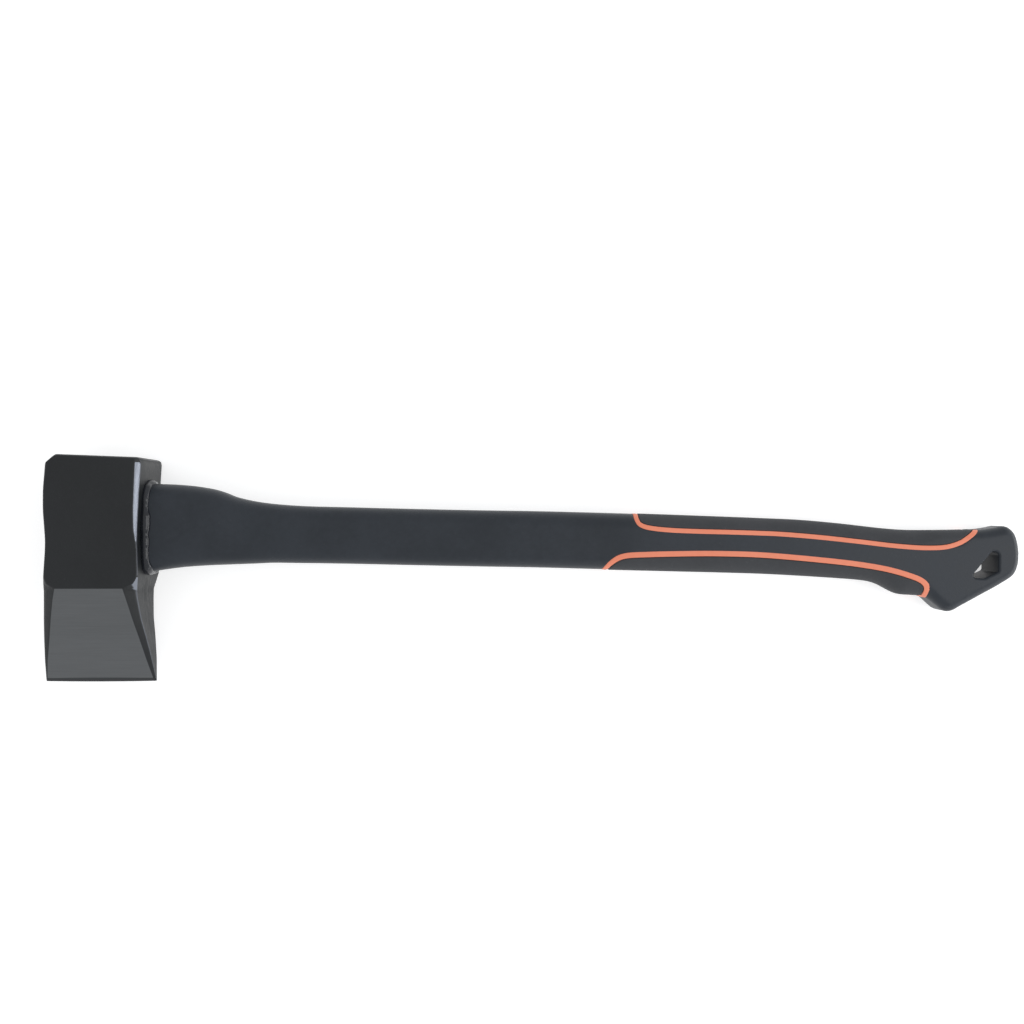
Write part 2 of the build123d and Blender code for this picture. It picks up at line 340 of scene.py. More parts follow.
class Kit:
    """Makes the shared node groups once and hands them out."""

    def __init__(self) -> None:
        """Builds every group."""
        self.groups = {
            Effect.MOTTLE: self._mottle(),
            Effect.GRAIN: self._grain(),
            Effect.WEAR: self._wear(),
            Effect.GRIND: self._grind(),
            Effect.DUST: self._dust(),
        }

    @staticmethod
    def _new(name: str, inputs: dict, outputs: dict) -> tuple:
        """Starts a node group.

        Args:
            name: the group's name.
            inputs: socket names and default values.
            outputs: socket names and socket types.

        Returns:
            The group, its input node and its output node.
        """
        group = bpy.data.node_groups.new(name, "ShaderNodeTree")
        for label, value in inputs.items():
            socket = group.interface.new_socket(label, in_out="INPUT",
                                                socket_type="NodeSocketFloat")
            socket.default_value = value
        for label, kind in outputs.items():
            group.interface.new_socket(label, in_out="OUTPUT", socket_type=kind)
        return group, group.nodes.new("NodeGroupInput"), group.nodes.new("NodeGroupOutput")

    @staticmethod
    def _noise(group: bpy.types.NodeTree, scale: float, detail: float, stretch: tuple) -> object:
        """Noise on object coordinates.

        Args:
            group: where the nodes go.
            scale: noise scale, per metre.
            detail: octaves.
            stretch: scale along x, y and z.

        Returns:
            The noise node.
        """
        where = group.nodes.new("ShaderNodeTexCoord")
        mapping = group.nodes.new("ShaderNodeMapping")
        mapping.inputs["Scale"].default_value = stretch
        noise = group.nodes.new("ShaderNodeTexNoise")
        noise.inputs["Scale"].default_value = scale
        noise.inputs["Detail"].default_value = detail
        noise.inputs["Roughness"].default_value = NOISE_ROUGHNESS
        group.links.new(where.outputs["Object"], mapping.inputs["Vector"])
        group.links.new(mapping.outputs["Vector"], noise.inputs["Vector"])
        return noise

    @staticmethod
    def _range(group: bpy.types.NodeTree, source: object, low: float, high: float) -> object:
        """Stretches a value so that low becomes 0 and high becomes 1, smoothly and held.

        Args:
            group: where the node goes.
            source: the socket to stretch.
            low: the value that becomes 0.
            high: the value that becomes 1.

        Returns:
            The result's socket.
        """
        node = group.nodes.new("ShaderNodeMapRange")
        node.interpolation_type = "SMOOTHSTEP"
        node.inputs["From Min"].default_value = low
        node.inputs["From Max"].default_value = high
        group.links.new(source, node.inputs["Value"])
        return node.outputs["Result"]

    @staticmethod
    def maths(group: bpy.types.NodeTree, kind: str, *values: object) -> object:
        """Adds a maths node.

        Args:
            group: where the node goes.
            kind: the operation.
            values: sockets or numbers.

        Returns:
            The result's socket.
        """
        node = group.nodes.new("ShaderNodeMath")
        node.operation = kind
        for socket, value in zip(node.inputs, values):
            if isinstance(value, (int, float)):
                socket.default_value = value
            else:
                group.links.new(value, socket)
        return node.outputs[0]

    def _mottle(self) -> bpy.types.NodeTree:
        """Uneven paint or moulding: a slow cloud and a finer one, and a height for a bump."""
        group, _, out = self._new("mottle", {}, {"Cloud": "NodeSocketFloat",
                                                 "Height": "NodeSocketFloat"})
        slow = self._noise(group, 22, 4, (1, 1, 1))
        fine = self._noise(group, 260, 5, (1, 1, 1))
        cloud = self.maths(group, "MULTIPLY_ADD", fine.outputs[0], 0.35,
                           self.maths(group, "MULTIPLY", slow.outputs[0], 0.65))
        group.links.new(self._range(group, cloud, 0.3, 0.7), out.inputs["Cloud"])
        group.links.new(self.maths(group, "MULTIPLY_ADD", fine.outputs[0], 0.5, slow.outputs[0]),
                        out.inputs["Height"])
        return group

    def _grain(self) -> bpy.types.NodeTree:
        """Fine spark texture of moulded plastic: packed cells, as a height and a speckle."""
        group, entry, out = self._new("grain", {"Scale": 1400.0}, {"Height": "NodeSocketFloat",
                                                                  "Speckle": "NodeSocketFloat"})
        where = group.nodes.new("ShaderNodeTexCoord")
        cells = group.nodes.new("ShaderNodeTexVoronoi")
        group.links.new(where.outputs["Object"], cells.inputs["Vector"])
        group.links.new(entry.outputs["Scale"], cells.inputs["Scale"])
        noise = self._noise(group, 900, 3, (1, 1, 1))
        height = self.maths(group, "MULTIPLY_ADD", noise.outputs[0], 0.6, cells.outputs["Distance"])
        group.links.new(height, out.inputs["Height"])
        group.links.new(self._range(group, noise.outputs[0], 0.42, 0.66), out.inputs["Speckle"])
        return group

    def _wear(self) -> bpy.types.NodeTree:
        """Rubbed edges: the piece's edge attribute broken up by noise."""
        group, entry, out = self._new("wear", {"Amount": 0.5}, {"Mask": "NodeSocketFloat"})
        edge = group.nodes.new("ShaderNodeAttribute")
        edge.attribute_name = "edge"
        noise = self._noise(group, 160, 6, (1, 1, 1))
        broken = self.maths(group, "MULTIPLY", edge.outputs["Fac"],
                            self.maths(group, "ADD", noise.outputs[0], entry.outputs["Amount"]))
        group.links.new(self._range(group, broken, 0.55, 1.0), out.inputs["Mask"])
        return group

    def _grind(self) -> bpy.types.NodeTree:
        """Grinding marks: noise drawn out along x, fine across, as a height and a tint."""
        group, _, out = self._new("grind", {}, {"Height": "NodeSocketFloat",
                                                "Tint": "NodeSocketFloat"})
        lines = self._noise(group, 60, 6, (0.6, 22, 22))
        broad = self._noise(group, 14, 4, (0.7, 3, 3))
        group.links.new(lines.outputs[0], out.inputs["Height"])
        tint = self.maths(group, "MULTIPLY_ADD", broad.outputs[0], 0.5,
                          self.maths(group, "MULTIPLY", lines.outputs[0], 0.5))
        group.links.new(self._range(group, tint, 0.32, 0.68), out.inputs["Tint"])
        return group

    def _dust(self) -> bpy.types.NodeTree:
        """Thin handling marks: sparse soft specks."""
        group, _, out = self._new("dust", {}, {"Mask": "NodeSocketFloat"})
        noise = self._noise(group, 420, 8, (1, 1, 1))
        group.links.new(self._range(group, noise.outputs[0], 0.6, 0.78), out.inputs["Mask"])
        return group

    def use(self, tree: bpy.types.NodeTree, effect: Effect, **inputs: float) -> object:
        """Places a group in a material.

        Args:
            tree: the material's nodes.
            effect: which group.
            inputs: values for its sockets.

        Returns:
            The group node.
        """
        node = tree.nodes.new("ShaderNodeGroup")
        node.node_tree = self.groups[effect]
        for label, value in inputs.items():
            node.inputs[label].default_value = value
        return node


@dataclass(frozen=True)
class Finish:
    """A surface: its colours, how rough it is and how much of each shared effect it takes."""

    name: str
    colour: tuple
    second: tuple
    roughness: float
    spread: float = 0.08
    coat: float = 0.0
    grain: float = 0.0
    grain_scale: float = 1400.0
    waviness: float = 0.0
    wear: float = 0.0
    worn_colour: tuple = (0.3, 0.31, 0.33)
    worn_rough: float = 0.38
    dust: float = 0.0
    dust_colour: tuple = (0.2, 0.2, 0.2)
    specular: float = 0.5

    @staticmethod
    def _mix(tree: bpy.types.NodeTree, mask: object, a: object, b: object,
             kind: str = "RGBA") -> object:
        """Mixes two colours, numbers or vectors.

        Args:
            tree: the material's nodes.
            mask: the socket that picks the second one.
            a: the first, as a colour, a number or a socket.
            b: the second, likewise.
            kind: RGBA, FLOAT or VECTOR.

        Returns:
            The result's socket.
        """
        mix = tree.nodes.new("ShaderNodeMix")
        mix.data_type = kind
        first, second, result = MIX_SOCKETS[kind]
        tree.links.new(mask, mix.inputs["Factor"])
        for socket, value in ((mix.inputs[first], a), (mix.inputs[second], b)):
            if isinstance(value, tuple):
                socket.default_value = (*value, 1)
            elif isinstance(value, (int, float)):
                socket.default_value = value
            else:
                tree.links.new(value, socket)
        return mix.outputs[result]

    @staticmethod
    def _bump(tree: bpy.types.NodeTree, height: object, depth: float, under: object) -> object:
        """Adds a bump over another.

        Args:
            tree: the material's nodes.
            height: the height's socket.
            depth: how deep, in metres.
            under: the normal's socket below, or None.

        Returns:
            The new normal's socket.
        """
        bump = tree.nodes.new("ShaderNodeBump")
        bump.inputs["Distance"].default_value = depth
        tree.links.new(height, bump.inputs["Height"])
        if under is not None:
            tree.links.new(under, bump.inputs["Normal"])
        return bump.outputs["Normal"]

    def make(self, kit: Kit) -> bpy.types.Material:
        """Builds the material.

        Args:
            kit: the shared groups.

        Returns:
            The material.
        """
        material = bpy.data.materials.new(self.name)
        material.use_nodes = True
        tree = material.node_tree
        shader = tree.nodes["Principled BSDF"]
        shader.inputs["Coat Weight"].default_value = self.coat
        shader.inputs["Specular IOR Level"].default_value = self.specular
        mottle = kit.use(tree, Effect.MOTTLE)
        colour = self._mix(tree, mottle.outputs["Cloud"], self.colour, self.second)
        rough = self._mix(tree, mottle.outputs["Cloud"], self.roughness - self.spread,
                          self.roughness + self.spread, "FLOAT")
        normal = None
        if self.waviness:
            normal = self._bump(tree, mottle.outputs["Height"], self.waviness, None)
        if self.grain:
            grain = kit.use(tree, Effect.GRAIN, Scale=self.grain_scale)
            normal = self._bump(tree, grain.outputs["Height"], self.grain, normal)
        if self.dust:
            dust = kit.use(tree, Effect.DUST)
            mask = kit.maths(tree, "MULTIPLY", dust.outputs["Mask"], self.dust)
            colour = self._mix(tree, mask, colour, self.dust_colour)
        metal = None
        if self.wear:
            worn = kit.use(tree, Effect.WEAR, Amount=self.wear)
            colour = self._mix(tree, worn.outputs["Mask"], colour, self.worn_colour)
            rough = self._mix(tree, worn.outputs["Mask"], rough, self.worn_rough, "FLOAT")
            metal = worn.outputs["Mask"]
        colour, rough, metal, normal = self.extra(kit, tree, colour, rough, metal, normal)
        tree.links.new(colour, shader.inputs["Base Color"])
        tree.links.new(rough, shader.inputs["Roughness"])
        if metal is not None:
            tree.links.new(metal, shader.inputs["Metallic"])
        if normal is not None:
            tree.links.new(normal, shader.inputs["Normal"])
        return material

    def extra(self, kit: Kit, tree: bpy.types.NodeTree, colour: object, rough: object,
              metal: object, normal: object) -> tuple:
        """What a finish adds over the plain one: here nothing."""
        return colour, rough, metal, normal


@dataclass(frozen=True)
class GroundPaint(Finish):
    """Black stoved paint that is ground away on the wedge, by the piece's ground attribute, with a
    painted highlight on the chamfer laid as bright metal.
    """

    steel: tuple = (0.150, 0.155, 0.160)
    steel_dark: tuple = (0.132, 0.137, 0.141)
    # darker steel colour along the cutting edge's thin bevel
    honed: tuple = (0.06, 0.062, 0.065)
    # colour of the painted highlight on the chamfer
    painted_chamfer_highlight: tuple = (0.20, 0.215, 0.25)
    steel_rough: float = 0.42
    # roughness and metalness of the painted highlight on the chamfer
    painted_highlight_rough: float = 0.34
    painted_highlight_metal: float = 0.9
    grind_depth: float = 0.00006

    @staticmethod
    def _attribute(tree: bpy.types.NodeTree, name: str, low: float, high: float) -> object:
        """Stretches an attribute of the piece.

        Args:
            tree: the material's nodes.
            name: the attribute's name.
            low: the value that becomes 0.
            high: the value that becomes 1.

        Returns:
            The result's socket.
        """
        source = tree.nodes.new("ShaderNodeAttribute")
        source.attribute_name = name
        node = tree.nodes.new("ShaderNodeMapRange")
        node.inputs["From Min"].default_value = low
        node.inputs["From Max"].default_value = high
        tree.links.new(source.outputs["Fac"], node.inputs["Value"])
        return node.outputs["Result"]

    def extra(self, kit: Kit, tree: bpy.types.NodeTree, colour: object, rough: object,
              metal: object, normal: object) -> tuple:
        """Lays bare steel with grinding marks over the paint, and a painted highlight on the
        chamfer.

        Args:
            kit: the shared groups.
            tree: the material's nodes.
            colour: the paint's colour socket.
            rough: its roughness socket.
            metal: its metallic socket.
            normal: its normal socket.

        Returns:
            The same four after the steel and the painted highlight are laid over them.
        """
        bare = self._attribute(tree, "ground", -0.25, 0.35)
        grind = kit.use(tree, Effect.GRIND)
        steel = self._mix(tree, grind.outputs["Tint"], self.steel_dark, self.steel)
        # darker steel along the cutting edge's thin bevel
        steel = self._mix(tree, self._attribute(tree, "honed", 0.2, 0.8), steel, self.honed)
        colour = self._mix(tree, bare, colour, steel)
        rough = self._mix(tree, bare, rough, self.steel_rough, "FLOAT")
        metal = self._mix(tree, bare, metal, 1.0, "FLOAT")
        # painted highlight on the chamfer, laid as bright bluish metal
        painted_chamfer_highlight = self._attribute(tree, "bright", 0.25, 0.9)
        colour = self._mix(tree, painted_chamfer_highlight, colour, self.painted_chamfer_highlight)
        rough = self._mix(tree, painted_chamfer_highlight, rough, self.painted_highlight_rough, "FLOAT")
        metal = self._mix(tree, painted_chamfer_highlight, metal, self.painted_highlight_metal, "FLOAT")
        lines = self._bump(tree, grind.outputs["Height"], self.grind_depth, None)
        normal = self._mix(tree, bare, normal, lines, "VECTOR")
        return colour, rough, metal, normal


# ------------------------------------------------------------------------------ head
@dataclass(frozen=True)
class Station:
    """One level of the head: side face's edge and cheek's edge, on the outer and handle side."""

    outer: tuple
    outer_cheek: tuple
    inner_cheek: tuple
    inner: tuple
    radius: float
    fill: int


@dataclass
class Head:
    """The forged wedge head, pierced by the eye."""

    middle_x: float
    eye_y: float
    eye_inner: RoundedBox = RoundedBox(29.0, 13.5, 12.5)
    eye_outer: RoundedBox = RoundedBox(30.5, 15.0, 12.5)
    edge_bow: float = 0.35
    mouth_chamfer: float = 0.9
    waviness: float = 0.12
    ground_top: float = -12.9
    # top of the darker strip along the cutting edge
    honed_top: float = -78.6
    sharp_top: float = -77.0
    bevel_depths: tuple = (12.5, 21, 35.5, 50, 65, 78.6, 82)
    bevel_outer: tuple = (-24.1, -26.5, -29.8, -32.7, -36, -38.1, -39.4)
    bevel_inner: tuple = (22.8, 24.6, 27.5, 30.8, 34.0, 37.3, 39.4)
    # where the painted highlight on the chamfer stops at the top, where its full strength ends,
    # where its faint tail ends, and the small facet that takes it too
    painted_highlight_top: float = 75.2
    painted_highlight_foot: float = 20.0
    sheen_foot: float = -4.0
    facet_levels: tuple = (-15.0, -5.0)
    facet_x: float = 29.6
    stations: tuple = (
        Station((-29.4, 75.4, 0), (-23.2, 81.0, 0), (33.4, 78.9, 0), (35.6, 77.3, 0), 1, 6),
        Station((-29.4, 75.4, 18), (-23.2, 81.0, 18), (33.4, 78.9, 18), (35.6, 77.3, 18), 2, 2),
        Station((-29.4, 75.2, 22.5), (-23.0, 80.9, 25.2), (33.2, 78.8, 24.9),
                (35.2, 77.5, 22.6), 1, 1),
        Station((-29.6, 75.0, 24.5), (-23.4, 79.9, 26.8), (32.7, 77.8, 26.8),
                (34.6, 77.2, 25.0), 0.8, 3),
        Station((-29.9, 74.4, 25.3), (-28.8, 75.4, 27), (32.3, 74.8, 27), (35.5, 74.6, 23.3),
                0.6, 8),
        Station((-31.4, 56, 25.3), (-30.6, 56, 27), (31.5, 56, 27), (34.4, 56, 23.2), 4, 8),
        Station((-31.5, 42, 25.2), (-30.7, 42, 26.9), (31.0, 42, 26.9), (33.7, 42, 23.2), 4, 8),
        Station((-30.6, 28, 24.8), (-29.9, 28, 26.2), (31.0, 28, 26.2), (33.0, 28, 23.2), 3, 4),
        Station((-30.2, 21, 24.6), (-29.6, 21, 25.8), (32.3, 21, 25.8), (33.1, 21, 24), 3, 4),
        Station((-30.4, 14, 24.4), (-29.9, 14, 25.4), (33.0, 14, 25.4), (33.4, 14, 24.2), 3, 6),
        Station((-31.7, 0, 23.5), (-31.0, 0, 25.0), (33.2, 0, 25.0), (33.6, 0, 23.5), 2, 3),
        Station((-32.4, -5, 22.5), (-31.4, -5, 24.8), (32.9, -5.2, 24.8), (33.3, -5.2, 22.6), 1, 3),
        Station((-32.9, -9.8, 21), (-29.6, -9.4, 24.6), (30.2, -9.5, 24.6), (32.4, -9.8, 21), 1, 3),
        Station((-33.6, -15.6, 18.4), (-24.1, -12.8, 24.0), (22.9, -13.1, 24.0),
                (31.3, -15.6, 18.4), 1, 4),
        Station((-34.2, -22, 16.9), (-26.5, -21, 21.4), (24.6, -21, 21.4), (31.6, -22, 16.8), 2, 6),
        Station((-35.8, -36, 13.2), (-29.8, -35.5, 16.5), (27.5, -35.5, 16.5),
                (32.9, -36, 13.1), 2, 6),
        Station((-37.2, -50, 9.3), (-32.7, -50, 11.6), (30.8, -50, 11.6), (35.4, -50, 9.2), 2, 6),
        Station((-38.4, -65, 5.1), (-36.0, -65, 6.5), (34.0, -65, 6.5), (37.6, -65, 5.1), 2, 6),
        Station((-39.1, -78.4, 1.2), (-38.1, -78.6, 1.95), (37.3, -78.6, 1.95),
                (38.9, -78.4, 1.2), 0.5, 3),
        Station((-39.2, -80.7, 0.35), (-38.8, -80.9, 0.4), (38.6, -80.9, 0.4),
                (39.2, -80.7, 0.35), 0.3, 2),
    )

    def _loop(self) -> tuple:
        """Puts the levels in order down one cheek and up the other.

        Returns:
            Corner points, levels by four columns, their radii and the fills after them.
        """
        near = [[s.outer, s.outer_cheek, s.inner_cheek, s.inner] for s in self.stations]
        down = np.array(near, float)
        up = (down * MIRROR)[:0:-1]
        radii = [s.radius for s in self.stations]
        fills = [s.fill for s in self.stations]
        back = fills[-2::-1]
        fills[-1] = 1
        return np.concatenate([down, up]), radii + radii[:0:-1], fills + back

    def _side_faces(self, rim: np.ndarray, eye: RoundedBox, sign: int) -> np.ndarray:
        """Fills a side face from its edge in to the eye, then into the eye.

        Straight lines run from the edge to where a ray from the eye's middle leaves the eye, and
        x follows the side face's own profile along y.

        Args:
            rim: the side face's edge, one row each.
            eye: the eye's outline on this side.
            sign: 1 on the handle's side, -1 on the outer side.

        Returns:
            Rows from the edge inwards, the last inside the eye.
        """
        order = np.argsort(rim[:, 1])
        profile_y, profile_x = rim[order, 1], rim[order, 0]
        offset = rim[:, 1:] - np.array([self.eye_y, 0])
        mouth = eye.on_rays(np.arctan2(offset[:, 1], offset[:, 0]))
        wide = mouth * (1 + self.mouth_chamfer / np.linalg.norm(mouth, axis=1, keepdims=True))
        part = np.array([0.012, 0.04, 0.12, 0.25, 0.4, 0.55, 0.7, 0.85, 0.95, 1.0])
        plane = offset[None] + (wide - offset)[None] * part[:, None, None]
        x = np.interp(plane[..., 0] + self.eye_y, profile_y, profile_x)
        x[0] = rim[:, 0] * 0.6 + x[0] * 0.4
        rows = np.concatenate([x[..., None], plane], axis=-1)
        lip = np.concatenate([(x[-1] - sign * self.mouth_chamfer)[:, None], mouth], axis=1)
        wall = lip - np.array([sign * 6.0, 0, 0])
        rows = np.concatenate([rows, lip[None], wall[None]])
        rows[..., 1] += self.eye_y
        return rows

    def _forge(self, columns: np.ndarray) -> None:
        """Bows the cutting edge and dents the cheeks a little, in place."""
        bow = np.clip((-columns[..., 1] - 70) / 10, 0, 1) * (1 - (columns[..., 0] / 39) ** 2)
        columns[..., 1] -= bow * self.edge_bow
        x, y = columns[..., 0], columns[..., 1]
        wave = np.sin(x * 0.13 + 1.1) * np.sin(y * 0.11 + 0.4) + 0.6 * np.sin(x * 0.29 - y * 0.23)
        calm = ease((y + 2) / 10) * ease((72 - y) / 10) * ease((28 - np.abs(x)) / 8)
        columns[..., 2] -= np.sign(columns[..., 2]) * self.waviness * calm * (0.8 + 0.5 * wave)

    def _bright(self, columns: np.ndarray) -> np.ndarray:
        """Marks the painted highlight along the chamfer on the handle's side, on the near cheek
        only.

        Args:
            columns: the wrap round the wedge, from the outer side to the handle's side.

        Returns:
            How strong the painted highlight is at each point, from 0 to 1.
        """
        x, level, z = columns[..., 0], columns[..., 1], columns[..., 2]
        facet = (level > self.facet_levels[0]) & (level < self.facet_levels[1]) & (x > self.facet_x)
        strength = np.select([level > self.painted_highlight_foot, facet, level > self.sheen_foot],
                             [1.0, 0.9, 0.42], 0.0)
        chamfer = np.arange(len(columns))[:, None] >= len(columns) - 5
        bright = (chamfer & (z > 0) & (level < self.painted_highlight_top)) * strength
        bright[-1] = np.where(level[-1] < self.facet_levels[0] + 1, 0.6, bright[-1])
        return bright

    def _ground(self, band: np.ndarray) -> np.ndarray:
        """How far each point lies inside the ground bevel, in millimetres."""
        x, y = band[..., 0], band[..., 1]
        outer = np.interp(-y, self.bevel_depths, self.bevel_outer)
        inner = np.interp(-y, self.bevel_depths, self.bevel_inner)
        return np.minimum.reduce([self.ground_top - y, x - outer, inner - x])

    def build(self, finish: bpy.types.Material) -> bpy.types.Object:
        """Makes the head as one closed band: round the wedge, over both sides, through the eye.

        Args:
            finish: its material.

        Returns:
            The head.
        """
        nodes, radii, fills = self._loop()
        rows, along = rounded_cage(nodes, radii, 5, fills, True)
        cage = rows.transpose(1, 0, 2)
        columns, across = rounded_cage(cage, [0, 1.3, 1.3, 0], 5, [2, 46, 2], False)
        self._forge(columns)
        left = self._side_faces(columns[0], self.eye_outer, -1)[::-1]
        right = self._side_faces(columns[-1], self.eye_inner, 1)
        band = np.concatenate([left, columns, right])
        edge, bright = np.zeros(band.shape[:2]), np.zeros(band.shape[:2])
        wrap = slice(len(left), len(left) + len(columns))
        sharp = np.clip((self.sharp_top - columns[..., 1]) / 2, 0, 1)
        edge[wrap] = np.maximum(across[:, None] * 0.75, along[None, :] * sharp)
        # painted highlight on the near chamfer
        bright[wrap] = self._bright(columns)
        ground = self._ground(band)
        # darker strip along the cutting edge's thin bevel
        honed = ease((self.honed_top + 0.6 - band[..., 1]) / 0.8)
        shape = Shape()
        band[..., 0] += self.middle_x
        shape.grid(band, close_u=True, close_v=True, edge=edge, ground=ground, honed=honed,
                   bright=bright)
        piece = shape.build("forged_head")
        place(piece, ("head",), finish)
        return piece


@dataclass
class EyeFilling:
    """Cured resin in the eye's outer mouth and the bead round the neck."""

    eye_y: float
    outer_x: float
    neck_x: float
    bead_reach: float = 3.6
    mouth: RoundedBox = RoundedBox(30.4, 14.9, 12.4)
    neck: RoundedBox = RoundedBox(31.2, 14.2, 11.8)
    disc_sides: int = 160
    bead_rings: int = 420
    bead_sides: int = 22
    bead_height: float = 2.7

    def disc(self, finish: bpy.types.Material) -> bpy.types.Object:
        """Makes the resin's face: rings that shrink to the middle, raised against the wall.

        Args:
            finish: its material.

        Returns:
            The disc.
        """
        loop = self.mouth.loop(self.disc_sides)
        part = np.array([1, 0.985, 0.96, 0.92, 0.85, 0.72, 0.55, 0.35, 0.15, 0.0])
        angle = np.linspace(0, 2 * math.pi, self.disc_sides, endpoint=False)
        rise = np.exp(-(1 - part) * 22)[:, None]
        ripple = 0.1 * np.sin(3 * angle + 1)[None] * part[:, None] * (1 - part[:, None]) * 4
        x = self.outer_x + 1.5 - rise + ripple
        front = np.concatenate([x[..., None], loop[None] * part[:, None, None]], axis=-1)
        back = np.array([front[0] + [5, 0, 0], front[0] * [1, 0, 0] + [5, 0, 0]])
        rows = np.concatenate([back[::-1], front])
        rows[0] = np.array([self.outer_x + 6, 0, 0])
        rows[..., 1] += self.eye_y
        shape = Shape()
        shape.grid(rows, close_v=True)
        piece = shape.build("eye_resin_face", weld=0.01)
        place(piece, ("eye_resin",), finish)
        return piece

    def bead(self, finish: bpy.types.Material) -> bpy.types.Object:
        """Makes the bead: a flattened tube round the neck whose size wanders.

        Args:
            finish: its material.

        Returns:
            The bead.
        """
        loop = self.neck.loop(self.bead_rings)
        ahead = np.roll(loop, -1, axis=0) - np.roll(loop, 1, axis=0)
        out = np.stack([ahead[:, 1], -ahead[:, 0]], axis=1)
        out /= np.linalg.norm(out, axis=1, keepdims=True)
        out *= np.sign((out * loop).sum(1))[:, None]
        way = np.linspace(0, 2 * math.pi, self.bead_rings, endpoint=False)
        wander = (0.13 * np.sin(5 * way + 0.6) + 0.10 * np.sin(9 * way + 2.1)
                  + 0.05 * np.sin(17 * way) + 0.02 * np.sin(31 * way + 1))
        angle = np.linspace(0, 2 * math.pi, self.bead_sides, endpoint=False)
        high = (self.bead_height * (1 + wander * 0.9))[None] * np.cos(angle)[:, None]
        along = (self.bead_reach * (1 + wander))[None] * np.sin(angle)[:, None]
        ring = loop[None] + out[None] * (high[..., None] + 0.2)
        x = np.broadcast_to(self.neck_x + 0.2, high.shape) + along
        rows = np.concatenate([x[..., None], ring], axis=-1)
        rows[..., 1] += self.eye_y
        shape = Shape()
        shape.grid(rows, close_u=True, close_v=True)
        piece = shape.build("neck_bead")
        place(piece, ("seal_bead",), finish)
        return piece


# ------------------------------------------------------------------------------ handle
@dataclass
class HandleForm:
    """The handle's outer skin: two outlines in the cheeks' plane, and rounded long edges."""

    neck_x: float = -275.85
    butt_x: float = 350.0
    upper_points: tuple = (
        (-285, 61.0), (-276, 60.85), (-267.3, 60.6), (-256.4, 60.2), (-246.4, 59.4),
        (-238.1, 58.3), (-229, 56.6), (-221.7, 54.3), (-215.3, 51.7), (-208, 49.7),
        (-197.1, 47.6), (-183.4, 46.0), (-165.1, 44.8), (-135.4, 44.0), (-87.7, 42.8),
        (-39.8, 41.8), (4.3, 41.1), (71.5, 39.3), (119.8, 37.6), (163.9, 35.9), (192.7, 34.6),
        (221.7, 32.0), (250.7, 28.7), (265.2, 27.5), (279.7, 27.1), (308.7, 27.3),
        (323.3, 27.9), (333.5, 29.4), (338.6, 30.4), (342.3, 29.4), (346.5, 25.4), (349.0, 18.4),
        (350.0, 10.8),
    )
    lower_points: tuple = (
        (-285, -2.9), (-276, -2.35), (-272.1, -1.9), (-260.8, -0.2), (-249.9, 1.1),
        (-233.4, 2.2), (-215, 2.9), (-197, 3.6), (-187.8, 4.0), (-169.5, 3.8), (-135.3, 3.3),
        (-87.7, 2.2), (-39.8, 1.2), (4.3, 0.4), (49.8, -0.9), (107.6, -2.4), (134.9, -3.1),
        (163.7, -4.0), (192.6, -5.5), (221.5, -7.4), (233.1, -8.3), (243.3, -9.7),
        (250.5, -11.9), (260.6, -17.1), (265, -18.8), (273.7, -19.5), (280.0, -20.1),
        (284.8, -22.5), (290.3, -27), (294, -30.0), (297.5, -31.2), (301.5, -30.6),
        (307, -27.6), (321.7, -19.6), (336, -11.8), (346.0, -4.9), (349.3, 2.5), (350.0, 10.8),
    )
    half_stations: tuple = (-225.0, -205.0, 0.0, 70.0)
    half_values: tuple = (14.5, 13.5, 13.5, 14.5)
    corner_stations: tuple = (-225.0, -205.0, 0.0, 70.0, 276.0, 290.0)
    corner_values: tuple = (12.0, 11.0, 11.0, 12.0, 12.0, 7.0)

    def __post_init__(self) -> None:
        """Draws both outlines and the line round them."""
        self.upper = smooth_line(list(self.upper_points), 10)
        self.lower = smooth_line(list(self.lower_points), 10)
        self.round = np.vstack([self.lower, self.upper[::-1][1:]])

    def top(self, x: np.ndarray) -> np.ndarray:
        """Height of the upper outline at x."""
        return np.interp(x, self.upper[:, 0], self.upper[:, 1])

    def bottom(self, x: np.ndarray) -> np.ndarray:
        """Height of the lower outline at x."""
        return np.interp(x, self.lower[:, 0], self.lower[:, 1])

    def skin(self, x: np.ndarray, y: np.ndarray, side: int) -> tuple:
        """Lifts plane points onto the skin.

        Within the corner radius of the outline the height follows a quarter circle of the
        distance to the outline, and it's level further in.

        Args:
            x: along the handle.
            y: across it, in the cheeks' plane.
            side: 1 for the upper cheek's side, -1 for the other.

        Returns:
            Points and outward unit normals.
        """
        flat = np.stack([x.reshape(-1), y.reshape(-1)], axis=1)
        far, out = nearest(flat, self.round)
        out = -out
        half = np.interp(flat[:, 0], self.half_stations, self.half_values)
        corner = np.interp(flat[:, 0], self.corner_stations, self.corner_values)
        lean = corner - np.minimum(far, corner)
        rise = np.sqrt(np.maximum(corner**2 - lean**2, 0))
        point = np.column_stack([flat, side * (half - corner + rise)])
        normal = np.column_stack([out * (lean / corner)[:, None], side * rise / corner])
        return point.reshape(*x.shape, 3), normal.reshape(*x.shape, 3)

    @staticmethod
    def ring_rows(low: np.ndarray, high: np.ndarray, middle: int) -> np.ndarray:
        """Heights from high down to low, packed near high where the skin curves.

        Args:
            low: lowest height at each station.
            high: highest height at each station.
            middle: samples below the curved part.

        Returns:
            Rows of heights, one column for each station.
        """
        turn = EDGE_REACH * (1 - np.cos(np.linspace(0, math.pi / 2, EDGE_ROWS)))
        depth = np.maximum(high - low, 0)
        rest = np.linspace(0, 1, middle + 1)[1:, None]
        share = np.minimum(turn[:, None], depth * (turn / EDGE_REACH)[:, None] * EDGE_SHARE)
        return high - np.concatenate([share, share[-1] + (depth - share[-1]) * rest])


